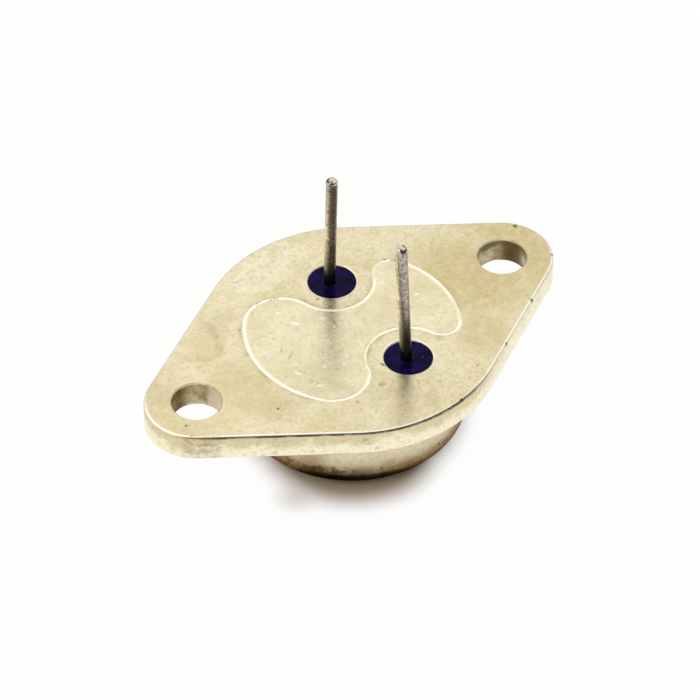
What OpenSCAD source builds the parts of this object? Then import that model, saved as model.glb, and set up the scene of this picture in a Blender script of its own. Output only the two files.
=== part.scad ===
// Metal-can power transistor, lying on its can with both leads pointing up.
// Millimetres. The origin is the middle of the can's flat top, +Z runs up along the
// leads, and +X points to the screw hole that the leads stand nearer to.

/* [Flange] */
// Distance between the centres of the two screw holes
hole_spacing = 30.15; // [29:0.05:33]
// Diameter of the screw holes
hole_d = 4.1; // [3:0.1:5]
// Radius of the flange's two ends, round the screw holes
end_r = 4.25; // [3.5:0.05:5.5]
// Width of the flange across its round waist
flange_w = 24.5; // [23.5:0.1:27]
// Thickness of the flange
flange_t = 2.4; // [1.5:0.1:3.4]
// Radius that stamping leaves on the flange's edges
edge_r = 0.25; // [0.1:0.05:0.5]
// Width of the bevel at each mouth of a screw hole
hole_bevel = 0.1; // [0.05:0.05:0.3]

/* [Heat spreader] */
// Diameter of the disc that the bow-tie shape is cut from
spreader_d = 17.6; // [16.5:0.1:19]
// Distance of that disc's middle from the flange's, towards the leads
spreader_off = 0.1; // [0:0.05:0.6]
// Radius of the two cuts that leave steel round the glass seals
steel_round_seal_r = 3.5; // [2.8:0.1:3.8]
// Radius of the large lobe's two corners
large_lobe_r = 3; // [2:0.1:3.4]
// Radius of the small lobe's two corners
small_lobe_r = 1.5; // [1:0.1:2]
// Width of the brazed joint round the heat spreader
braze_w = 0.3; // [0.1:0.02:0.4]
// Depth of the braze below the flange's two faces
braze_sink = 0.02; // [0.01:0.01:0.15]
// Diameter of the raised seat that carries the die
seat_d = 7.2; // [6.6:0.1:8]
// Height of that seat above the flange's inner face
seat_h = 0.5; // [0.2:0.1:1]

/* [Leads and seals] */
// Distance between the two leads where they leave the flange
lead_spacing = 10.92; // [10:0.02:12]
// Distance of the leads' row from the flange's middle
lead_row = 1.6; // [1.5:0.05:2]
// Diameter of the leads
lead_d = 0.97; // [0.8:0.01:1.1]
// Length of the leads outside the flange
lead_len = 11.75; // [7:0.05:13]
// Angle by which each lead leans towards the other
lead_lean = 3.15; // [0.55:0.1:5]
// How far that lean is turned round from straight towards the other lead
lead_turn = 15; // [0:1:30]
// Radius of the bend that makes it lean, where it leaves the flange
lead_bend_r = 3; // [2:0.5:6]
// Rounding of their ends
tip_r = 0.2; // [0.05:0.05:0.2]
// Length of the leads inside the can
lead_inner_len = 2.2; // [1.8:0.1:3.5]
// Diameter of the flat heads on the leads' inner ends
head_d = 1.8; // [1.4:0.1:2.4]
// Thickness of those heads
head_t = 0.4; // [0.2:0.1:0.6]
// Diameter of the glass seals
seal_d = 4; // [3.4:0.1:4.6]
// Distance of the seals' row from the flange's middle
seal_row = 1.82; // [1.6:0.02:2]
// Depth of the glass below the flange's two faces
seal_sink = 0.12; // [0.04:0.02:0.3]
// Height of the collar of glass that climbs each lead
collar_h = 0.2; // [0.1:0.05:0.35]
// Thickness of that collar's upper edge
collar_lip = 0.04; // [0.02:0.01:0.1]

/* [Can] */
// Height of the can, from its flat top to the flange
can_h = 6.6; // [6:0.1:9]
// Outer diameter of the can's wall beside its rim
can_d = 19.3; // [19:0.1:20.4]
// Angle by which the wall narrows towards the top
can_draft = 1.5; // [0:0.25:3]
// Outer radius of the shoulder between wall and top
shoulder_r = 1.6; // [1:0.1:2.4]
// Thickness of the can's sheet
can_wall = 0.5; // [0.3:0.05:0.8]
// Diameter of the rim that is welded to the flange
rim_d = 22; // [21.4:0.1:22.8]
// Thickness of the rim
rim_t = 0.8; // [0.5:0.1:1.2]
// Inside radius of the bend between wall and rim
rim_bend_r = 0.4; // [0.2:0.1:0.6]

/* [Die and its wiring] */
// Side of the square silicon die
die_w = 4.4; // [3.6:0.1:4.8]
// Thickness of the die
die_t = 0.25; // [0.15:0.05:0.5]
// Distance of the die's middle from the flange's, away from the leads
die_off = 3; // [2.6:0.1:3.6]
// Thickness of every solder joint
solder_t = 0.08; // [0.05:0.01:0.15]
// Width of the solder that shows round the die
solder_margin = 0.15; // [0.05:0.05:0.3]
// Radius of the bead of resin that covers the die's edge
bead_r = 0.35; // [0.28:0.01:0.5]
// Thickness of that resin where it laps over the die's face
bead_lap = 0.04; // [0.01:0.01:0.05]
// Thickness of the two contact clips
clip_t = 0.2; // [0.1:0.05:0.3]
// Width of the emitter clip
emitter_clip_w = 1.4; // [1:0.1:1.6]
// Width of the base clip
base_clip_w = 1; // [0.7:0.1:1.2]
// Length of each clip's flat foot on the die
foot_len = 1; // [0.8:0.1:1.4]
// Distance of the emitter foot from the die's middle, towards the leads
emitter_foot_x = 0.5; // [0.2:0.1:0.8]
// Distance of the emitter foot from the die's middle, towards its lead
emitter_foot_y = 0.8; // [0.7:0.1:1]
// Distance of the base foot from the die's middle, towards the leads
base_foot_x = 0.8; // [0.4:0.1:1]
// Distance of the base foot from the die's middle, towards its lead
base_foot_y = 1.1; // [1:0.1:1.2]

/* [Hidden] */
$fn = 96;
// Sides of the smallest rounds, which nothing shows from a step away
FINE_FN = 32;
// Overlap that keeps a cut from ending on a face
CUT = 1;
// Least overlap that makes two touching rounds cross
HAIR = 0.0005;
// Straight pieces along the bend of a clip
CLIP_STEPS = 14;

EMITTER = -1;
BASE = 1;

inner_z = can_h;
face_z = can_h + flange_t;
waist_r = flange_w / 2;
hole_x = hole_spacing / 2;
seal_r = seal_d / 2;
lead_r = lead_d / 2;
lead_y = lead_spacing / 2;

// The straight edges of the flange touch the waist at this angle from the hole line
edge_angle = acos((waist_r - end_r) / hole_x);
edge_len = hole_x * sin(edge_angle);

// The leads start to bend where the collars of glass end
glass_z = face_z - seal_sink;
bend_z = glass_z + collar_h;
leaning_len = lead_len - (bend_z - face_z) - lead_bend_r * lead_lean * PI / 180;

// Heights inside the can, counted from the flange's inner face
die_z = seat_h + solder_t;
die_face_z = die_z + die_t;
foot_z = die_face_z + solder_t;
lead_end_z = lead_inner_len;
clip_end_z = lead_end_z + solder_t;

// Where circles of radius ra round a and rb round b cross, on the left of the way to b
function crossing(a, ra, b, rb) =
    let (way = b - a,
         d = norm(way),
         along = (ra * ra - rb * rb + d * d) / (2 * d),
         aside = sqrt(ra * ra - along * along))
    a + (along * way + aside * [-way[1], way[0]]) / d;

function unit(v) = v / norm(v);

// Plan of the heat spreader, larger all round by grow. A disc is bitten by two round
// cuts beside the seals, and every corner circle touches both the disc and its cut.
// The corners are drawn a hair large, so that they cross what they touch.
module bow_tie(grow = 0) {
    disc_r = spreader_d / 2;
    disc = [spreader_off, 0];
    cut = [seal_row, lead_y];
    large = crossing(disc, disc_r - large_lobe_r, cut, steel_round_seal_r + large_lobe_r);
    small = crossing(cut, steel_round_seal_r + small_lobe_r, disc, disc_r - small_lobe_r);
    beyond = 2 * disc_r;
    difference() {
        translate(disc) circle(disc_r + grow);
        for (side = [BASE, EMITTER]) on_side(side) {
            polygon([
                large, cut, small,
                small + beyond * unit(small - disc),
                large + beyond * unit(large - disc)
            ]);
            translate(cut) circle(steel_round_seal_r - grow);
        }
    }
    for (side = [BASE, EMITTER]) on_side(side) {
        translate(large) circle(large_lobe_r + grow + HAIR);
        translate(small) circle(small_lobe_r + grow + HAIR);
    }
}

// The base side as drawn, the emitter side mirrored
module on_side(side) {
    if (side == BASE) children();
    else mirror([0, 1, 0]) children();
}

// Places children on the flange's inner face, with +Z running into the can
module inside_can() translate([0, 0, inner_z]) mirror([0, 0, 1]) children();

// Section of the flange from its middle line out to a rounded edge
module flange_section(reach) {
    square([reach - edge_r, flange_t]);
    translate([0, edge_r]) square([reach, flange_t - 2 * edge_r]);
    for (z = [edge_r, flange_t - edge_r])
        translate([reach - edge_r, z]) circle(edge_r, $fn = FINE_FN);
}

// Quarter of the blank: waist, straight stretch and end meet face to face
module flange_quarter() intersection() {
    translate([0, 0, -CUT]) cube([hole_x + end_r + CUT, waist_r + CUT, flange_t + 2 * CUT]);
    rotate([0, 0, edge_angle]) {
        rotate_extrude(angle = 180) flange_section(waist_r);
        rotate([90, 0, 0]) linear_extrude(edge_len) flange_section(waist_r);
        translate([waist_r - end_r, -edge_len, 0]) mirror([0, 1, 0])
            rotate_extrude(angle = 180) flange_section(end_r);
    }
}

module flange_blank() {
    for (flip_x = [0, 1], flip_y = [0, 1])
        mirror([flip_x, 0, 0]) mirror([0, flip_y, 0]) flange_quarter();
}

module screw_hole() {
    translate([0, 0, -CUT]) cylinder(h = flange_t + 2 * CUT, d = hole_d);
    cylinder(h = hole_bevel, d1 = hole_d + 2 * hole_bevel, d2 = hole_d);
    translate([0, 0, flange_t - hole_bevel])
        cylinder(h = hole_bevel, d1 = hole_d, d2 = hole_d + 2 * hole_bevel);
}

// Hole for a seal, with a lip at each face as deep as the glass is sunk
module seal_hole() {
    translate([0, 0, -CUT]) cylinder(h = flange_t + 2 * CUT, r = seal_r);
    for (face = [0, 1])
        translate([0, 0, face * flange_t]) mirror([0, 0, face]) rotate_extrude()
            difference() {
                square([seal_r + seal_sink, seal_sink]);
                translate([seal_r + seal_sink, seal_sink])
                    circle(seal_sink, $fn = FINE_FN);
            }
}

module header_flange() {
    color([0.85, 0.79, 0.66]) translate([0, 0, inner_z]) difference() {
        flange_blank();
        for (end = [-1, 1]) translate([end * hole_x, 0, 0]) screw_hole();
        for (side = [BASE, EMITTER])
            translate([seal_row, side * lead_y, 0]) seal_hole();
        translate([0, 0, -CUT])
            linear_extrude(flange_t + 2 * CUT) bow_tie(braze_w / 2);
    }
}

// The slug, with a round seat for the die that never reaches past the slug's outline
module heat_spreader() {
    color([0.87, 0.81, 0.68]) {
        translate([0, 0, inner_z]) linear_extrude(flange_t) bow_tie(-braze_w / 2);
        inside_can() linear_extrude(seat_h) intersection() {
            translate([-die_off, 0]) circle(d = seat_d);
            bow_tie(-braze_w / 2);
        }
    }
}

module spreader_braze() {
    color([0.97, 0.95, 0.86]) translate([0, 0, inner_z + braze_sink])
        linear_extrude(flange_t - 2 * braze_sink) difference() {
            bow_tie(braze_w / 2);
            bow_tie(-braze_w / 2);
        }
}

// Half section of a straight length of lead, rounded at its end
module tip_section(length) {
    square([lead_r - tip_r, length]);
    square([lead_r, length - tip_r]);
    translate([lead_r - tip_r, length - tip_r]) circle(tip_r, $fn = FINE_FN);
}

// A lead is straight through the glass and its collar, then bends over
module lead_shape(side) on_side(side)
    translate([lead_row, lead_y, 0]) rotate([0, 0, -lead_turn]) {
        translate([0, 0, inner_z - lead_end_z]) {
            cylinder(h = lead_end_z + bend_z - inner_z, r = lead_r);
            cylinder(h = head_t, d = head_d);
        }
        translate([0, -lead_bend_r, bend_z]) {
            rotate([90, 0, 90]) rotate_extrude(angle = lead_lean)
                translate([lead_bend_r, 0]) circle(lead_r);
            rotate([lead_lean, 0, 0]) translate([0, lead_bend_r, 0])
                rotate_extrude() tip_section(leaning_len);
        }
    }

// Glass filling the seal hole, with a hollow-sided collar that climbs the lead
module seal_shape(side) on_side(side) difference() {
    union() {
        translate([seal_row, lead_y, inner_z + seal_sink])
            cylinder(h = flange_t - 2 * seal_sink, r = seal_r);
        translate([lead_row, lead_y, glass_z]) rotate_extrude() difference() {
            square([lead_r + collar_lip + collar_h, collar_h]);
            translate([lead_r + collar_lip + collar_h, collar_h])
                circle(collar_h, $fn = FINE_FN);
        }
    }
    translate([lead_row, lead_y, inner_z - CUT])
        cylinder(h = flange_t + 2 * CUT, r = lead_r);
}

module emitter_seal() color([0.09, 0.07, 0.13]) seal_shape(EMITTER);
module base_seal() color([0.09, 0.07, 0.13]) seal_shape(BASE);
module emitter_lead() color([0.6, 0.58, 0.54]) lead_shape(EMITTER);
module base_lead() color([0.6, 0.58, 0.54]) lead_shape(BASE);

// Half section of a drawn cup: flat top at z = 0, rounded shoulder, sloping wall
// that reaches radius mouth_r at height slope_h, then straight up to height h
module cup_section(mouth_r, slope_h, h, corner_r) {
    corner_x = mouth_r - (slope_h - corner_r) * tan(can_draft) - corner_r / cos(can_draft);
    polygon([
        [0, 0],
        [corner_x, 0],
        [corner_x + corner_r * cos(can_draft), corner_r - corner_r * sin(can_draft)],
        [mouth_r, slope_h],
        [mouth_r, h],
        [0, h]
    ]);
    translate([corner_x, corner_r]) circle(corner_r);
}

module can() {
    can_r = can_d / 2;
    rim_bend_z = can_h - rim_t - rim_bend_r;
    color([0.82, 0.77, 0.65]) rotate_extrude() difference() {
        union() {
            cup_section(can_r, rim_bend_z, can_h, shoulder_r);
            translate([0, can_h - rim_t]) square([rim_d / 2, rim_t]);
            difference() {
                translate([0, rim_bend_z]) square([can_r + rim_bend_r, rim_bend_r]);
                translate([can_r + rim_bend_r, rim_bend_z]) circle(rim_bend_r, $fn = FINE_FN);
            }
        }
        translate([0, can_wall]) cup_section(
            can_r - can_wall / cos(can_draft), rim_bend_z - can_wall, can_h,
            shoulder_r - can_wall);
    }
}

module die_square(side, from_z, height)
    inside_can() translate([-die_off - side / 2, -side / 2, from_z])
        cube([side, side, height]);

module die() color([0.3, 0.31, 0.35]) die_square(die_w, die_z, die_t);

module die_solder()
    color([0.7, 0.7, 0.72]) die_square(die_w + 2 * solder_margin, seat_h, solder_t);

// Bead of resin along the four edges of the die, levelled just above its face
module die_edge_coating() {
    half = die_w / 2;
    block = seat_d + 2 * CUT;
    color([0.92, 0.9, 0.84]) difference() {
        inside_can() translate([-die_off, 0, die_z]) for (turn = [0 : 90 : 270])
            rotate([0, 0, turn]) translate([half, -half, 0]) {
                sphere(bead_r, $fn = FINE_FN);
                rotate([-90, 0, 0]) cylinder(h = die_w, r = bead_r, $fn = FINE_FN);
            }
        die_square(block, seat_h - CUT, CUT);
        die_square(block, die_face_z + bead_lap, CUT);
        die_square(die_w, die_z, die_t);
        die_square(die_w + 2 * solder_margin, seat_h, solder_t);
    }
}

function foot_xy(side) = side == EMITTER
    ? [emitter_foot_x - die_off, -emitter_foot_y]
    : [base_foot_x - die_off, base_foot_y];
function clip_w(side) = side == EMITTER ? emitter_clip_w : base_clip_w;

// Turns and places children so that +X runs from the foot on the die to the lead
module along_clip(side) {
    way = [lead_row, side * lead_y] - foot_xy(side);
    inside_can() translate(foot_xy(side)) rotate([0, 0, atan2(way[1], way[0])]) children();
}

// Height of a clip's lower face at distance x from the middle of its foot
function clip_z(x, bend_end) =
    let (share = (x - foot_len / 2) / (bend_end - foot_len / 2))
    x <= foot_len / 2 ? foot_z
    : foot_z + (clip_end_z - foot_z) * (1 - cos(180 * min(share, 1))) / 2;

// Strip that lies flat on the die, rises in a smooth bend and lies flat on the lead
module clip_shape(side) {
    reach = norm([lead_row, side * lead_y] - foot_xy(side));
    bend_end = reach - head_d / 2;
    bend = [for (i = [0 : CLIP_STEPS])
        foot_len / 2 + (bend_end - foot_len / 2) * i / CLIP_STEPS];
    stations = concat([-foot_len / 2], bend, [reach + head_d / 2]);
    lower = [for (x = stations) [x, clip_z(x, bend_end)]];
    upper = [for (i = [len(lower) - 1 : -1 : 0]) lower[i] + [0, clip_t]];
    along_clip(side) translate([0, clip_w(side) / 2, 0]) rotate([90, 0, 0])
        linear_extrude(clip_w(side)) polygon(concat(lower, upper));
}

module emitter_clip() color([0.72, 0.7, 0.64]) clip_shape(EMITTER);
module base_clip() color([0.72, 0.7, 0.64]) clip_shape(BASE);

module foot_solder(side) color([0.7, 0.7, 0.72])
    along_clip(side) translate([-foot_len / 2, -clip_w(side) / 2, die_face_z])
        cube([foot_len, clip_w(side), solder_t]);

module lead_solder(side) color([0.7, 0.7, 0.72])
    inside_can() translate([lead_row, side * lead_y, lead_end_z])
        cylinder(h = solder_t, d = clip_w(side));

module emitter_foot_solder() foot_solder(EMITTER);
module base_foot_solder() foot_solder(BASE);
module emitter_lead_solder() lead_solder(EMITTER);
module base_lead_solder() lead_solder(BASE);

header_flange();
heat_spreader();
spreader_braze();
emitter_seal();
base_seal();
emitter_lead();
base_lead();
can();
die();
die_solder();
die_edge_coating();
emitter_clip();
base_clip();
emitter_foot_solder();
base_foot_solder();
emitter_lead_solder();
base_lead_solder();
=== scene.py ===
import math

import bmesh
import bpy
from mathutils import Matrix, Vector

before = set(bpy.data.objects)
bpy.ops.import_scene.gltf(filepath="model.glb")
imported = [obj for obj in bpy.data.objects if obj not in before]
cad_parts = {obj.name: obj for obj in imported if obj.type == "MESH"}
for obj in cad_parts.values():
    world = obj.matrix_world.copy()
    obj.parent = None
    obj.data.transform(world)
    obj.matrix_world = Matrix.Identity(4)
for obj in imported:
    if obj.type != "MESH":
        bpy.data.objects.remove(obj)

scene = bpy.context.scene
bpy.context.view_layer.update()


# ---- Camera -------------------------------------------------------------------------
# A long lens looks down on the transistor from the front left, from about 0.4 m away.

VIEW_TURN = math.radians(-34.5731)     # how far the camera stands round from the front
VIEW_RISE = math.radians(43.7520)
VIEW_DISTANCE = 0.414938               # m
VIEW_LENS = 263.79                     # mm
SENSOR_WIDTH = 36.0                    # mm
AIM = Vector((-0.0015955, -0.0021147, 0.0090))

to_camera = Vector((
    math.sin(VIEW_TURN) * math.cos(VIEW_RISE),
    -math.cos(VIEW_TURN) * math.cos(VIEW_RISE),
    math.sin(VIEW_RISE),
))
camera_data = bpy.data.cameras.new("camera")
camera_data.sensor_width = SENSOR_WIDTH
camera_data.lens = VIEW_LENS
camera_data.clip_start = 0.01
camera_data.clip_end = 20.0
camera = bpy.data.objects.new("camera", camera_data)
scene.collection.objects.link(camera)
camera.location = AIM + VIEW_DISTANCE * to_camera
camera.rotation_euler = to_camera.to_track_quat("Z", "Y").to_euler()
scene.camera = camera
scene.view_settings.view_transform = "Standard"


# ---- Studio -------------------------------------------------------------------------
# White walls stand behind and on the left, and one large soft lamp hangs up on that
# side. The room is dark at mid height in front and on the right, where the camera stands.

FRONT = Vector((to_camera.x, to_camera.y, 0)).normalized()
RIGHT = Vector((math.cos(VIEW_TURN), math.sin(VIEW_TURN), 0))
UP = Vector((0, 0, 1))

# Settings that many nodes share. SOFT is for MapRange, whose list is a value, the two
# numbers that it is carried from, and the two that it is carried to if not 0 and 1.
SOFT = {"interpolation_type": "SMOOTHSTEP"}
COLOURS = {"data_type": "RGBA"}        # for Mix: socket 0 is how much of 7 lies over 6
PLUS = {"operation": "ADD"}
MINUS = {"operation": "SUBTRACT"}
TIMES = {"operation": "MULTIPLY"}
LARGER = {"operation": "MAXIMUM"}
SMALLER = {"operation": "MINIMUM"}
ABSOLUTE = {"operation": "ABSOLUTE"}
APART = {"operation": "DISTANCE"}
ALIGNED = {"operation": "DOT_PRODUCT"}
UNIT = {"operation": "NORMALIZE"}
LENGTH = {"operation": "LENGTH"}


def linear(colour):
    """Turns an sRGB hex colour to the linear values that a shader socket holds."""
    parts = [int(colour[i:i + 2], 16) / 255 for i in (0, 2, 4)]
    return [p / 12.92 if p <= 0.04045 else ((p + 0.055) / 1.055) ** 2.4 for p in parts] + [1.0]


def add(tree, kind, settings={}, links={}):
    """Adds a node: settings are its own, links give each socket a value or a node.
    A list of links goes to the sockets in their order."""
    node = tree.nodes.new("ShaderNode" + kind)
    for name, value in settings.items():
        setattr(node, name, value)
    for socket, value in enumerate(links) if isinstance(links, list) else links.items():
        if isinstance(value, bpy.types.Node):
            value = next(output for output in value.outputs if output.enabled)
        if isinstance(value, bpy.types.NodeSocket):
            tree.links.new(value, node.inputs[socket])
        else:
            node.inputs[socket].default_value = value
    return node


def all_of(tree, amounts):
    """Several amounts multiplied, so that it is strong only where all of them are."""
    total = amounts[0]
    for amount in amounts[1:]:
        total = add(tree, "Math", TIMES, [total, amount])
    return total


def strongest(tree, amounts):
    """The largest of several amounts at every point."""
    total = amounts[0]
    for amount in amounts[1:]:
        total = add(tree, "Math", LARGER, [total, amount])
    return total


def band(tree, value, start, full, until, end):
    """1 where a value lies from full to until, falling softly to 0 at start and end."""
    return all_of(tree, [add(tree, "MapRange", SOFT, [value, start, full]),
                         add(tree, "MapRange", SOFT, [value, until, end, 1.0, 0.0])])


def paint(tree, under, over, *amounts):
    """Lays one colour over another, each a hex value or a node, as strongly as the
    amounts multiplied."""
    under, over = (linear(c) if isinstance(c, str) else c for c in (under, over))
    return add(tree, "Mix", COLOURS, {0: all_of(tree, amounts), 6: under, 7: over})


def millimetres(tree):
    """Object coordinates in millimetres."""
    return add(tree, "VectorMath", {"operation": "SCALE"}, {
        0: add(tree, "TexCoord").outputs["Object"], "Scale": 1000.0})


world = bpy.data.worlds.new("studio")
scene.world = world
world.use_nodes = True
sky = world.node_tree
sky.nodes.clear()
way = add(sky, "TexCoord").outputs["Generated"]
flat_way = add(sky, "VectorMath", UNIT, [add(sky, "VectorMath", TIMES, [way, (1, 1, 0)])])
dark_side = (FRONT + 0.75 * RIGHT).normalized()
towards = add(sky, "VectorMath", ALIGNED, [flat_way, dark_side]).outputs["Value"]
height = add(sky, "SeparateXYZ", {}, [way]).outputs["Z"]
room = paint(sky, "FFFFFF", "1C1A17", add(sky, "MapRange", SOFT, [towards, 0.05, 0.55]),
             band(sky, height, 0.18, 0.40, 0.80, 0.95))
room_light = add(sky, "Background", {}, {"Color": room, "Strength": 1.0})
white_card = add(sky, "Background", {}, {"Color": linear("FFFFFF"), "Strength": 1.0})
rays = add(sky, "LightPath").outputs
seen = add(sky, "MixShader", {}, [rays["Is Camera Ray"], room_light, white_card])
add(sky, "OutputWorld", {}, {"Surface": seen})

LAMP_SIDE = 0.30                       # m
LAMP_DISTANCE = 0.36                   # m
LAMP_POWER = 0.42                      # W
LAMP_AIM = Vector((0, 0, 0.006))
lamp_data = bpy.data.lights.new("soft_lamp", "AREA")
lamp_data.shape = "SQUARE"
lamp_data.size = LAMP_SIDE
lamp_data.energy = LAMP_POWER
lamp_data.color = linear("FFFDF8")[:3]
lamp = bpy.data.objects.new("soft_lamp", lamp_data)
scene.collection.objects.link(lamp)
lamp_way = (UP - 0.55 * RIGHT - 0.30 * FRONT).normalized()
lamp.location = LAMP_AIM + LAMP_DISTANCE * lamp_way
lamp.rotation_euler = lamp_way.to_track_quat("Z", "Y").to_euler()

# Sheet of white card that it stands on. Away from the can it is seen as clean white,
# and under the can's shoulder its colour is painted dark: a painted shadow close to the can.
CARD_HALF = 3.0                        # m
SHADOW_R = (8.0, 9.4)                  # mm from the can's middle, dark to plain card
CLEAN_R = (9.7, 13.0)                  # mm, plain card to clean white
MIRRORED_R = (11.0, 13.4)              # mm, dark to clean white in the can's reflections
MIRRORED_CORE = 2.6                    # mm by which the dark core is wider in those
CLEANEST = 0.97
TAIL = (-11.6, -6.8, 0)                # mm, middle of the shadow's tail
floor_bm = bmesh.new()
bmesh.ops.create_grid(floor_bm, x_segments=1, y_segments=1, size=CARD_HALF)
floor_mesh = bpy.data.meshes.new("white_card")
floor_bm.to_mesh(floor_mesh)
floor_bm.free()
floor = bpy.data.objects.new("white_card", floor_mesh)
scene.collection.objects.link(floor)
card = bpy.data.materials.new("matt_white_card")
card.use_nodes = True
tree = card.node_tree
tree.nodes.clear()
spot = millimetres(tree)
away = add(tree, "VectorMath", LENGTH, [spot]).outputs["Value"]
# The shadow reaches further in front than at the sides, least of all at the right, and
# trails off at the front left
from_front = add(tree, "VectorMath", APART, [spot, 3.0 * FRONT]).outputs["Value"]
from_tail = add(tree, "VectorMath", APART, [spot, TAIL]).outputs["Value"]
sideways = add(tree, "VectorMath", ALIGNED, [
    add(tree, "VectorMath", UNIT, [spot]), RIGHT]).outputs["Value"]
lighter = add(tree, "Math", PLUS, [
    add(tree, "MapRange", SOFT, [sideways, 0.3, 1.0, 0.0, 0.9]),
    add(tree, "MapRange", SOFT, [sideways, -0.62, -0.10, 0.52, 0.12])])
lighter = add(tree, "Math", MINUS, [
    lighter, add(tree, "MapRange", SOFT, [from_tail, 0.5, 3.6, 1.45, 0.0])])
reach = add(tree, "Math", PLUS, [lighter, add(tree, "Math", SMALLER, [
    add(tree, "Math", PLUS, [away, 1.3]), add(tree, "Math", PLUS, [from_front, 3.0])])])
rays = add(tree, "LightPath").outputs
mirrored = strongest(tree, [rays["Is Glossy Ray"], rays["Is Transmission Ray"]])
core_edge = add(tree, "Math", MINUS, [
    reach, add(tree, "Math", TIMES, [mirrored, MIRRORED_CORE])])
for less_core in (
        add(tree, "MapRange", SOFT, [
            add(tree, "Math", ABSOLUTE, [sideways]), 0.25, 0.80, 0.0, 0.8]),
        add(tree, "MapRange", SOFT, [sideways, -0.60, -0.15, 0.4, 0.0])):
    core_edge = add(tree, "Math", PLUS, [core_edge, less_core])
# The card's colour is a painted shadow: dark beside the can, plain further out, wider in what the
# can reflects
card_colour = paint(
    tree, "473D30", "F6E4D2", add(tree, "MapRange", SOFT, [core_edge, *SHADOW_R]))
matt = add(tree, "BsdfDiffuse", {}, {"Color": card_colour, "Roughness": 0.0})
clean = add(tree, "Emission", {}, {"Color": linear("FFFFFF"), "Strength": 1.0})
cleanness = strongest(tree, [
    all_of(tree, [rays["Is Camera Ray"],
                  add(tree, "MapRange", SOFT, [reach, *CLEAN_R, 0.0, CLEANEST])]),
    all_of(tree, [mirrored, add(tree, "MapRange", SOFT, [
        add(tree, "Math", PLUS, [away, lighter]), *MIRRORED_R, 0.0, CLEANEST])])])
add(tree, "OutputMaterial", {}, {
    "Surface": add(tree, "MixShader", {}, [cleanness, matt, clean])})
floor_mesh.materials.append(card)


# ---- Header flange ------------------------------------------------------------------
# The steel header: blanked from 2.4 mm strip on a press, with its screw and seal holes,
# tumbled to round its edges, then nickel plated. Years have turned the nickel straw.

FACE_Z = 9.0                           # mm, the seating face over the can's flat top
HOLE_X = 15.075                        # mm, half the distance between the screw holes
SEAL_X, SEAL_Y = 1.82, 5.46            # mm, the seals' places, in front and behind
DISC_X = 0.1                           # mm, middle of the heat spreader's disc
DISC_LINE_R, CUT_LINE_R = 8.95, 3.35   # mm, middle of the brazed line on disc and cuts
RELIEF = 0.00002                       # m, height of the finest relief


def surface(name):
    """A new material, its tree with nothing in it, and its place in millimetres."""
    material = bpy.data.materials.new(name)
    material.use_nodes = True
    material.node_tree.nodes.clear()
    return material, material.node_tree, millimetres(material.node_tree)


def dress(material, finish, *nodes):
    """Closes a material with the sockets of its finish, and puts it on CAD nodes, in
    every slot."""
    shader = add(material.node_tree, "BsdfPrincipled", {}, finish)
    add(material.node_tree, "OutputMaterial", {}, {"Surface": shader})
    for node in nodes:
        mesh = bpy.data.objects[node].data
        if not mesh.materials:
            mesh.materials.append(material)
        for i in range(len(mesh.materials)):
            mesh.materials[i] = material


def grain(tree, place, size, detail=2.0, stretch=(1, 1, 1)):
    """Noise whose lumps are about size millimetres across."""
    spread = add(tree, "Mapping", {}, {"Vector": place, "Scale": stretch})
    return add(tree, "TexNoise", {}, {
        "Vector": spread, "Scale": 1 / size, "Detail": detail, "Roughness": 0.6})


def blotches(tree, place, colour, kinds):
    """Lays kinds of blotches over a colour. Each kind has a size in millimetres, the
    noise where it starts and where it is full, its strength there, and its colour."""
    for size, start, full, most, blotch in kinds:
        noise = grain(tree, place, size, 3.0)
        colour = paint(tree, colour, blotch,
                       add(tree, "MapRange", SOFT, [noise, start, full, 0.0, most]))
    return colour


def mark(tree, place, x, y, length, width, turn=0.0):
    """A soft-edged stroke or blot seen from above, 1 in its middle."""
    spot = add(tree, "Mapping", {"vector_type": "TEXTURE"}, {
        "Vector": place, "Location": (x, y, 0), "Rotation": (0, 0, math.radians(turn)),
        "Scale": (length / 2, width / 2, 1e6)})
    away = add(tree, "VectorMath", LENGTH, [spot]).outputs["Value"]
    return add(tree, "MapRange", SOFT, [away, 0.35, 1.0, 1.0, 0.0])


def dots(tree, place, apart, radius):
    """Round dots in groups, about apart millimetres from each other there."""
    cells = add(tree, "TexVoronoi", {}, {"Vector": place, "Scale": 1 / apart})
    dot = add(tree, "MapRange", SOFT, [
        cells.outputs["Distance"], 0.5 * radius / apart, radius / apart, 1.0, 0.0])
    groups = add(tree, "MapRange", SOFT, [grain(tree, place, 2.2 * apart), 0.50, 0.58])
    return all_of(tree, [dot, groups])


steel, tree, place = surface("nickel_plated_steel")
split = add(tree, "SeparateXYZ", {}, [place]).outputs
along, across, height = split["X"], split["Y"], split["Z"]

# Broad clouds where the nickel has yellowed, most of all at the right
yellowed = strongest(tree, [
    add(tree, "MapRange", SOFT, [grain(tree, place, 5.0, 2.0), 0.40, 0.75, 0.0, 0.5]),
    add(tree, "MapRange", SOFT, [along, 12.0, 17.0, 0.0, 0.9]),
    add(tree, "MapRange", SOFT, [along, -17.5, -13.0, 0.55, 0.0]),
    all_of(tree, [mark(tree, place, 11.8, -0.5, 12.0, 15.0, 20), 0.95]),
    all_of(tree, [mark(tree, place, -10.5, 5.2, 9.0, 4.0, 50), 0.4]),
    all_of(tree, [mark(tree, place, -11.0, -1.5, 7.0, 12.0, 10), 0.6]),
    all_of(tree, [mark(tree, place, 8.4, -6.6, 7.0, 6.0, 30), 0.7])])
colour = paint(tree, "EDE2BF", "D1BF8B", yellowed)
# It stayed cleanest along the back, and a brown rub lies beside the front seal
colour = paint(tree, colour, "F8EDCE", mark(tree, place, -2.5, 9.8, 16.0, 6.0, 12), 0.75)
colour = paint(tree, colour, "B98A4E", mark(tree, place, 0.6, -10.6, 3.6, 1.6, 60), 0.22)
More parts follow.
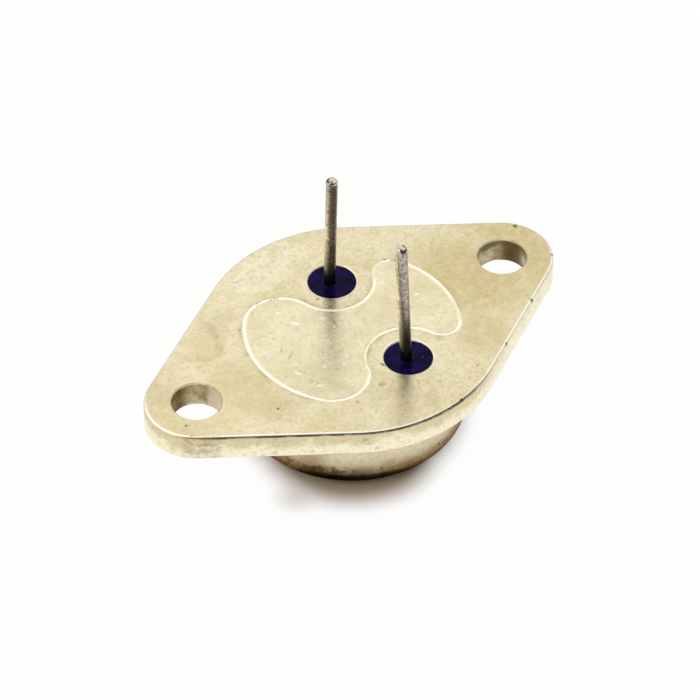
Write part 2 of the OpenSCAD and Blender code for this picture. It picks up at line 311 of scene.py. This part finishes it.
# Grey bruises, even ones and mottled ones
colour = paint(tree, colour, "A79D84", strongest(tree, [
    mark(tree, place, -9.6, -4.6, 5.0, 3.4), mark(tree, place, -8.0, 6.8, 4.0, 2.4, 30),
    mark(tree, place, -2.4, -7.6, 4.0, 2.4, 10), mark(tree, place, -16.9, 2.0, 3.8, 3.8)]), 0.18)
colour = paint(tree, colour, "A2987C", strongest(tree, [
    mark(tree, place, -9.65, 5.85, 3.4, 1.1, 78), mark(tree, place, -10.3, 4.0, 2.4, 1.2, 55),
    mark(tree, place, -12.2, 3.9, 3.2, 0.9, -35)]), add(tree, "MapRange", SOFT, [
        grain(tree, place, 0.7, 3.0), 0.3, 0.7, 0.15, 0.5]))
# The thin nickel shows faint green and pink where it wore to different depths, and over
# that the fine matt mottling of the tumbled steel
colour = blotches(tree, place, colour, (
    (1.3, 0.42, 0.68, 0.48, "D6D09C"),
    (0.75, 0.46, 0.70, 0.48, "EAD2B4"),
    (0.32, 0.42, 0.72, 0.42, "B4A67C"),
    (1.1, 0.45, 0.75, 0.25, "FBF1D2"),
    (0.5, 0.50, 0.80, 0.36, "9E9270")))
# Pits and specks of dirt, a few tenths of a millimetre across
specks = strongest(tree, [mark(tree, place, *spot) for spot in (
    (-17.30, -1.89, 0.50, 0.26, 20), (-0.38, -5.02, 0.70, 0.32, -70),
    (-0.35, 4.35, 0.50, 0.24, 10), (-10.19, -4.44, 0.40, 0.30), (5.91, -9.41, 0.30, 0.20),
    (18.1, 2.35, 0.45, 0.60, 20), (-7.62, 4.89, 0.30, 0.20))]
    + [all_of(tree, [dots(tree, place, 2.0, 0.16), 0.7])])
colour = paint(tree, colour, "4A4234", specks, 0.75)
colour = paint(tree, colour, "8D8674", mark(tree, place, -1.77, -6.84, 0.9, 0.6), 0.5)

# A soft, patchy darker band along the outside of the brazed joint, on the face, weaker at the
# right
from_disc = add(tree, "VectorMath", APART, [place, (DISC_X, 0, FACE_Z)]).outputs["Value"]
from_seals = [
    add(tree, "VectorMath", APART, [place, (SEAL_X, y, FACE_Z)]).outputs["Value"]
    for y in (-SEAL_Y, SEAL_Y)]
beside = []
for distance, line_r, width in ((from_disc, DISC_LINE_R, 0.6), (from_seals[0], CUT_LINE_R, 0.5),
                                (from_seals[1], CUT_LINE_R, 0.5)):
    off_line = add(tree, "Math", ABSOLUTE, [add(tree, "Math", MINUS, [distance, line_r])])
    beside.append(add(tree, "MapRange", SOFT, [off_line, 0.0, width, 1.0, 0.0]))
colour = paint(
    tree, colour, "9A8D68", strongest(tree, beside),
    add(tree, "MapRange", SOFT, [add(tree, "Math", ABSOLUTE, [across]), 5.0, 5.8, 1.0, 0.0]),
    add(tree, "MapRange", SOFT, [grain(tree, place, 1.6, 2.0), 0.40, 0.65, 0.05, 0.5]),
    add(tree, "MapRange", SOFT, [along, 4.0, 7.0, 1.0, 0.5]),
    add(tree, "MapRange", SOFT, [height, 8.90, 8.97]))

# The sheared side: a duller, greyer band above a brighter torn one, partly the real zones of the
# cut and partly painted shade of its curved face, with brown stains
side = add(tree, "MapRange", SOFT, [height, 8.74, 8.88, 1.0, 0.0])
wander = add(tree, "MapRange", SOFT, [grain(tree, place, 1.8, 3.0), 0.25, 0.75, -0.6, 0.6])
# The greyer upper band is partly the sheared zone's own dullness, partly painted shade
dull_and_shaded = all_of(tree, [
    add(tree, "MapRange", SOFT, [add(tree, "Math", PLUS, [height, wander]), 7.5, 8.5]),
    add(tree, "MapRange", SOFT, [along, 4.0, 11.0, 1.0, 0.25])])
colour = paint(tree, colour, paint(tree, "FFF8D8", "DFD1A8", dull_and_shaded), side, 0.9)
stains = strongest(tree, [
    add(tree, "MapRange", SOFT, [
        grain(tree, place, 0.9, 3.0, (1, 1, 1.6)), 0.58, 0.78, 0.0, 0.4]),
    all_of(tree, [mark(tree, place, -17.1, -4.0, 4.5, 3.0, -50), add(tree, "MapRange", SOFT, [
        grain(tree, place, 0.9, 3.0, (1, 1, 2)), 0.40, 0.70, 0.1, 0.6])]),
    all_of(tree, [mark(tree, place, -16.6, -3.4, 3.0, 2.4, -40),
                  band(tree, height, 7.20, 7.45, 7.60, 7.85), 0.55])])
colour = paint(tree, colour, "7E6C40", side, stains)
colour = paint(tree, colour, "AC9C66", side, add(tree, "MapRange", SOFT, [
    grain(tree, place, 0.35, 4.0), 0.48, 0.75, 0.0, 0.45]))
# The walls of the screw holes are painted darker in patches: painted shade inside the holes
by_hole = add(tree, "MapRange", SOFT, [strongest(tree, [
    mark(tree, place, -HOLE_X, 0, 9.0, 9.0), mark(tree, place, HOLE_X, 0, 9.0, 9.0)]), 0.2, 0.6])
colour = paint(tree, colour, "8A7A4C", side, by_hole, add(tree, "MapRange", SOFT, [
    grain(tree, place, 0.8, 3.0), 0.3, 0.7, 0.55, 0.95]))
ragged = add(tree, "Math", PLUS, [height, add(tree, "Math", TIMES, [wander, 0.4])])
# Near the top of the right hole's wall, more painted shade
colour = paint(tree, colour, "5E4E2A", side, mark(tree, place, 15.2, 2.1, 3.4, 1.8),
               add(tree, "MapRange", SOFT, [ragged, 8.2, 8.5, 0.0, 0.8]))
# Pale, matt patches on the holes' walls: painted highlights
painted_wall_highlight = strongest(tree, [
    all_of(tree, [mark(tree, place, -13.1, 0.1, 2.6, 2.4), side]),
    all_of(tree, [mark(tree, place, 17.1, -0.1, 1.2, 1.2),
                  band(tree, height, 7.0, 7.3, 7.8, 8.1)])])
colour = paint(tree, colour, "F2E8CC", painted_wall_highlight)
# A darker patch on the right hole's wall: painted shade
colour = paint(tree, colour, "6E5E34", side, mark(tree, place, 16.9, 1.0, 3.6, 3.2, 60), 0.8)

# Tumbling burnished the rounded edges. Beneath the upper one lies a dark line of painted shade,
# and knocks have left dark nicks in that edge
normal = add(tree, "TexCoord").outputs["Normal"]
facing = add(tree, "SeparateXYZ", {}, [normal]).outputs["Z"]
rounding = band(tree, facing, 0.40, 0.65, 0.965, 0.995)
off_hole = add(tree, "Math", MINUS, [1.0, by_hole])
by_seal = strongest(tree, [
    add(tree, "MapRange", SOFT, [distance, 2.3, 2.4, 1.0, 0.0]) for distance in from_seals])
burnished = all_of(tree, [
    rounding, off_hole, add(tree, "MapRange", SOFT, [along, -17.0, -14.5, 0.5, 0.8])])
colour = paint(tree, colour, "FFFAEC", burnished)
# Where the rounded edge faces the back it is browner, in a thin line
at_back = add(tree, "VectorMath", ALIGNED, [normal, -FRONT]).outputs["Value"]
colour = paint(tree, colour, "8E7850", rounding,
               add(tree, "MapRange", SOFT, [at_back, 0.05, 0.30, 0.0, 0.7]))
# At the left end it was hardly touched and only its lowest part shines
colour = paint(tree, colour, "C6BAA2", band(tree, facing, 0.80, 0.92, 0.985, 0.999),
               add(tree, "MapRange", SOFT, [along, -17.0, -14.5, 0.6, 0.0]))
# A dark line of painted shade just beneath the upper edge, patchy, fading at the right
shade_line_under_edge = band(tree, height, 8.75, 8.82, 8.87, 8.93)
colour = paint(
    tree, colour, "3E311F", shade_line_under_edge, off_hole,
    add(tree, "MapRange", SOFT, [grain(tree, place, 1.2, 3.0), 0.32, 0.62, 0.32, 0.88]),
    add(tree, "MapRange", SOFT, [along, -17.5, -16.6]),
    add(tree, "MapRange", SOFT, [along, 3.0, 8.5, 1.0, 0.06]))
nicks = strongest(tree, [
    mark(tree, place, x, y, 0.5, 0.34) for x, y in (
        (-17.55, -3.1), (2.5, -11.85), (9.4, -8.6), (14.05, -5.6), (18.6, -2.15), (18.25, 2.45))])
colour = paint(tree, colour, "4A3824", nicks, add(tree, "MapRange", SOFT, [height, 8.50, 8.65]),
               add(tree, "MapRange", SOFT, [facing, 0.9, 0.99, 0.85, 0.2]))

# The rims of the holes are matt and pale where they turn to the front: a painted highlight
forward = add(tree, "VectorMath", ALIGNED, [normal, 0.6 * FRONT + 0.8 * RIGHT]).outputs["Value"]
rims = strongest(tree, [
    all_of(tree, [by_hole, add(tree, "MapRange", SOFT, [facing, 0.45, 0.65])]),
    all_of(tree, [by_seal, add(tree, "MapRange", SOFT, [height, 8.84, 8.88])])])
painted_rim_highlight = all_of(tree, [
    rims, add(tree, "MapRange", SOFT, [forward, 0.10, 0.30]),
    add(tree, "MapRange", SOFT, [facing, 0.985, 0.999, 1.0, 0.0])])
colour = paint(tree, colour, "F6EACC", painted_rim_highlight)
# Behind the front seal a bright line 0.15 mm wide is painted along the hole: a painted highlight
colour = paint(tree, colour, "FFF9E6", mark(tree, place, 2.3, -3.2, 6.4, 5.2),
               add(tree, "MapRange", SOFT, [from_seals[0], 2.12, 2.22, 1.0, 0.0]))

# The edges are smoothest. The walls and mouths of the holes and the painted dark line under the
# upper edge are dull
mottle = grain(tree, place, 0.32, 3.0)
roughness = add(tree, "Math", MINUS, [
    add(tree, "MapRange", SOFT, [mottle, 0.3, 0.7, 0.24, 0.34]),
    add(tree, "Math", TIMES, [burnished, 0.10])])
mouths = add(tree, "Math", PLUS, [
    add(tree, "Math", TIMES, [rounding, 0.45]),
    add(tree, "MapRange", SOFT, [facing, 0.1, 0.3, 0.08, 0.0])])
for dulling in (all_of(tree, [strongest(tree, [by_hole, by_seal]), mouths]),
                all_of(tree, [shade_line_under_edge, 0.22])):
    roughness = add(tree, "Math", PLUS, [roughness, dulling])
matt_part = all_of(tree, [strongest(tree, [painted_rim_highlight, painted_wall_highlight]), 0.8])
# The right edge was knocked a little flatter than its curve
flattened = all_of(tree, [
    burnished, add(tree, "MapRange", SOFT, [forward, 0.05, 0.35, 0.0, 0.6]),
    add(tree, "MapRange", SOFT, [along, 3.0, 8.0])])
level = add(tree, "Mix", {"data_type": "VECTOR"}, {0: flattened, 4: normal, 5: UP})
dress(steel, {
    "Base Color": colour, "Roughness": roughness,
    "Metallic": add(tree, "Math", MINUS, [1.0, matt_part]),
    "Normal": add(tree, "Bump", {}, {
        "Strength": 0.3, "Distance": RELIEF, "Height": mottle, "Normal": level}),
}, "header_flange")


# ---- Heat spreader ------------------------------------------------------------------
# Copper slug under the chip, pressed to a bow tie so that it clears both seals, brazed
# into the header, lapped flush with it and nickel plated together with it.

copper, tree, place = surface("nickel_plated_copper")
colour = blotches(tree, place, "F2E8C3", (
    (3.5, 0.35, 0.70, 0.65, "DDD0A6"),
    (0.32, 0.42, 0.75, 0.34, "B8AC84"),
    (1.1, 0.45, 0.75, 0.35, "FDF4DA"),
    (1.3, 0.42, 0.68, 0.35, "DAD4A4"),
    (0.75, 0.46, 0.70, 0.38, "EBD5C2"),
    (0.5, 0.50, 0.80, 0.36, "9E9478")))
# Dull scrapes and short bright scratches left by handling
scrapes = [mark(tree, place, *spot) for spot in (
    (-6.03, -0.01, 1.1, 0.26, 30), (-5.94, 2.44, 0.7, 0.22, -60), (-5.74, 3.17, 0.5, 0.22, -20),
    (-0.80, 1.19, 1.0, 0.36, -95), (-3.53, -1.07, 0.6, 0.20, 55), (-6.16, -3.21, 0.7, 0.22, -45),
    (-5.89, -3.81, 0.5, 0.20, 40), (-6.10, -2.26, 0.5, 0.22, -45), (-6.15, 1.05, 0.8, 0.22, 60))]
scrapes.append(add(tree, "MapRange", SOFT, [
    grain(tree, place, 0.5, 2.0, (1.0, 0.4, 1)), 0.64, 0.78, 0.0, 0.7]))
colour = paint(tree, colour, "8A8072", strongest(tree, scrapes), 0.4)
scratches = [mark(tree, place, *spot) for spot in (
    (-3.52, 2.98, 1.0, 0.36, -50), (-3.95, 4.81, 0.5, 0.24, -33), (-1.27, 2.24, 0.9, 0.24, -33),
    (-1.07, 0.86, 0.6, 0.28, 26), (-2.47, -0.15, 0.6, 0.24, -12), (-6.60, -2.00, 0.9, 0.22, -53),
    (-5.93, -4.15, 1.0, 0.22, -20), (-4.37, -2.53, 0.4, 0.24), (-2.19, -2.55, 0.5, 0.24, -35),
    (-2.92, -3.18, 0.5, 0.22, 20), (-6.17, -1.08, 0.4, 0.22), (6.66, 0.24, 0.7, 0.22, -40))]
scratches.append(add(tree, "MapRange", SOFT, [
    grain(tree, place, 0.45, 1.0, (0.5, 1.0, 1)), 0.74, 0.79, 0.0, 0.7]))
colour = paint(tree, colour, "FFFCF2", strongest(tree, scratches))
mottle = grain(tree, place, 0.32, 3.0)
dress(copper, {
    "Base Color": colour, "Metallic": 1.0,
    "Roughness": add(tree, "MapRange", SOFT, [mottle, 0.3, 0.7, 0.23, 0.32]),
    "Normal": add(tree, "Bump", {}, {"Strength": 0.3, "Distance": RELIEF, "Height": mottle}),
}, "heat_spreader")


# ---- Brazed joint -------------------------------------------------------------------
# Silver braze that flowed into the gap round the slug. It shows as a cream-white line,
# three tenths of a millimetre wide, and flecks of dark flux have stayed in it behind.

CUT_R = 3.5                            # mm, radius of the slug's cuts round the seals

braze, tree, place = surface("silver_braze_filler")
colour = paint(tree, "FFFAE8", "DFD0AA", strongest(tree, [
    add(tree, "MapRange", SOFT, [grain(tree, place, 1.2, 3.0), 0.50, 0.75, 0.0, 0.6]),
    all_of(tree, [mark(tree, place, 5.5, 4.4, 5.0, 3.0, -30), 0.6]),
    all_of(tree, [mark(tree, place, 8.5, -3.2, 4.4, 2.4, 75), 0.5])]))
colour = paint(
    tree, colour, "6E6248", strongest(tree, [
        mark(tree, place, -3.4, 7.2, 6.5, 3.0, 25), mark(tree, place, 7.1, 5.0, 2.6, 1.6, -20)]),
    add(tree, "MapRange", SOFT, [grain(tree, place, 0.35, 2.0), 0.50, 0.60]), 0.8)
# Beside the front seal it is thin and broken, and shows only along the slug's cut
from_seal = add(tree, "VectorMath", APART, [place, (SEAL_X, -SEAL_Y, FACE_Z)]).outputs["Value"]
off_cut = add(tree, "Math", ABSOLUTE, [add(tree, "Math", MINUS, [from_seal, CUT_R])])
missing = strongest(tree, [
    add(tree, "MapRange", SOFT, [off_cut, 0.03, 0.10]),
    add(tree, "MapRange", SOFT, [grain(tree, place, 0.3, 2.0), 0.52, 0.60])])
colour = paint(
    tree, colour, "D8CCA2", mark(tree, place, -0.9, -3.4, 6.5, 3.0, 45), missing, 0.85)
dress(braze, {"Base Color": colour, "Metallic": 0.85, "Roughness": 0.42}, "spreader_braze")


# ---- Glass seals --------------------------------------------------------------------
# A bead of glass melted into each seal hole, dark blue with cobalt, that wets the steel
# and climbs the lead in a small collar.

glass, tree, place = surface("cobalt_blue_seal_glass")
colour = paint(tree, "0B0528", "180D48", add(tree, "MapRange", SOFT, [
    grain(tree, place, 0.9, 3.0), 0.38, 0.62]))
colour = paint(tree, colour, "9A9ABC", dots(tree, place, 0.55, 0.07), 0.5)
dress(glass, {
    "Base Color": colour, "Roughness": 0.10, "IOR": 1.5, "Specular IOR Level": 0.05,
}, "emitter_seal", "base_seal")


# ---- Leads --------------------------------------------------------------------------
# Round nickel-iron wire, cut to length, rounded at its end and plated thinly. It is
# mottled grey-brown with age, and painted darker towards the glass: painted shade.

wire, tree, place = surface("plated_nickel_iron_wire")
height = add(tree, "SeparateXYZ", {}, [place]).outputs["Z"]
mottle = grain(tree, place, 0.24, 4.0)
colour = paint(tree, "DCD3C8", "938A80", add(tree, "MapRange", SOFT, [mottle, 0.36, 0.66]))
colour = paint(tree, colour, "75695F", add(tree, "MapRange", SOFT, [
    grain(tree, place, 1.8, 2.0, (1, 1, 0.6)), 0.35, 0.65, 0.0, 0.45]))
# Darker towards the header: painted shade
colour = paint(tree, colour, "3E362D", add(tree, "MapRange", SOFT, [
    height, 10.0, 15.0, 0.92, 0.0]))
cut_end = paint(tree, "D4CAC0", "54463C", add(tree, "MapRange", SOFT, [
    grain(tree, place, 0.45, 1.0), 0.47, 0.60]))
colour = paint(tree, colour, cut_end, add(tree, "MapRange", SOFT, [height, 20.30, 20.55]))
dress(wire, {
    "Base Color": colour, "Metallic": 1.0,
    "Roughness": add(tree, "MapRange", SOFT, [mottle, 0.3, 0.7, 0.22, 0.34]),
    "Normal": add(tree, "Bump", {}, {"Strength": 0.5, "Distance": RELIEF, "Height": mottle}),
}, "emitter_lead", "base_lead")


# ---- Can ----------------------------------------------------------------------------
# Deep-drawn steel cap, welded to the header all round its rim, nickel plated. Its flat
# top carries nothing. Handling has left brown scuffs and a stain on the shoulder.

drawn, tree, place = surface("nickel_plated_drawn_steel")
height = add(tree, "SeparateXYZ", {}, [place]).outputs["Z"]
mottle = grain(tree, place, 0.35, 3.0)
colour = paint(tree, "EDE2C2", "DED1A9", add(tree, "MapRange", SOFT, [mottle, 0.38, 0.75]))
ragged = [
    add(tree, "Math", PLUS, [height, add(tree, "MapRange", SOFT, [
        grain(tree, place, size, 3.0), 0.3, 0.7, -0.5, 0.5])]) for size in (1.6, 0.9)]
# Darker and browner towards the floor: painted shade, for the dark floor that the can's lower
# part reflects
colour = paint(tree, colour, "9A763E", add(tree, "MapRange", SOFT, [height, 0.05, 0.30]),
               add(tree, "MapRange", SOFT, [ragged[0], 1.0, 3.0, 0.75, 0.0]))
colour = paint(
    tree, colour, "54401C", band(tree, height, 0.3, 0.9, 1.8, 2.8),
    add(tree, "MapRange", SOFT, [grain(tree, place, 0.8, 4.0), 0.52, 0.62]), 0.65)
# One broad brown stain lies low at the front, with a ragged upper edge
colour = paint(
    tree, colour, "5E4A20", mark(tree, place, -6.9, -6.5, 7.5, 5.0, -35),
    add(tree, "MapRange", SOFT, [height, 0.4, 0.9]),
    add(tree, "MapRange", SOFT, [ragged[1], 1.7, 2.3, 0.75, 0.0]))
dress(drawn, {
    "Base Color": colour, "Metallic": 1.0,
    "Roughness": add(tree, "MapRange", SOFT, [mottle, 0.3, 0.7, 0.27, 0.36]),
}, "can")


# ---- Die ----------------------------------------------------------------------------
# Square chip sawn from a silicon wafer. Comb fingers of aluminium, etched from a thin
# film, carry the current over its face; between them the oxide looks dull violet.

FINGER_PITCH = 0.11                    # mm, half of it
DIE_TOP = (5.76, 5.78)                 # mm, just below and just above its lower face

silicon, tree, place = surface("silicon_chip")
split = add(tree, "SeparateXYZ", {}, [place]).outputs
fingers = add(tree, "MapRange", SOFT, [
    add(tree, "Math", {"operation": "PINGPONG"}, [split["Y"], FINGER_PITCH]), 0.035, 0.045])
on_top = add(tree, "MapRange", SOFT, [split["Z"], *DIE_TOP, 1.0, 0.0])
colour = paint(tree, "3C3A4C", "4A4258", grain(tree, place, 1.5, 2.0))
colour = paint(tree, colour, "D2D1CC", fingers, on_top)
dress(silicon, {"Base Color": colour, "Metallic": 1.0, "Roughness": 0.18}, "die")


# ---- Solder joints ------------------------------------------------------------------
# Soft solder that fixes the die to its seat and the clips to the die and the leads,
# frosted by the coarse crystals that it freezes into.

solder, tree, place = surface("soft_solder")
frost = add(tree, "TexVoronoi", {}, {"Vector": place, "Scale": 8.0}).outputs["Distance"]
colour = paint(tree, "C9C9CB", "9FA0A4", add(tree, "MapRange", SOFT, [frost, 0.1, 0.6]))
dress(solder, {
    "Base Color": colour, "Metallic": 1.0,
    "Roughness": add(tree, "MapRange", SOFT, [frost, 0.1, 0.6, 0.30, 0.50]),
}, "die_solder", "emitter_foot_solder", "base_foot_solder", "emitter_lead_solder",
    "base_lead_solder")


# ---- Edge coating -------------------------------------------------------------------
# Bead of white silicone resin, brushed along the die's edge by hand and cured, that
# keeps the edge clean and insulated. It is slightly cloudy and smooth.

resin, tree, place = surface("cured_silicone_resin")
cloud = grain(tree, place, 0.6, 2.0)
colour = paint(tree, "ECE8DC", "DAD3C2", add(tree, "MapRange", SOFT, [cloud, 0.35, 0.7]))
dress(resin, {
    "Base Color": colour, "Roughness": 0.35, "Subsurface Weight": 0.2,
    "Subsurface Radius": (0.0006, 0.0005, 0.0004),
    "Normal": add(tree, "Bump", {}, {"Strength": 0.2, "Distance": RELIEF, "Height": cloud}),
}, "die_edge_coating")


# ---- Contact clips ------------------------------------------------------------------
# Strips of rolled copper, tinned, cut and bent on a press, that join the die to the
# leads. The roll's fine lines show through the tin.

clip, tree, place = surface("tinned_copper_strip")
lines = grain(tree, place, 0.10, 2.0, (0.1, 1, 1))
colour = paint(tree, "C9C4B8", "B3A893", add(tree, "MapRange", SOFT, [lines, 0.35, 0.65]))
dress(clip, {
    "Base Color": colour, "Metallic": 1.0,
    "Roughness": add(tree, "MapRange", SOFT, [lines, 0.3, 0.7, 0.28, 0.40]),
}, "emitter_clip", "base_clip")
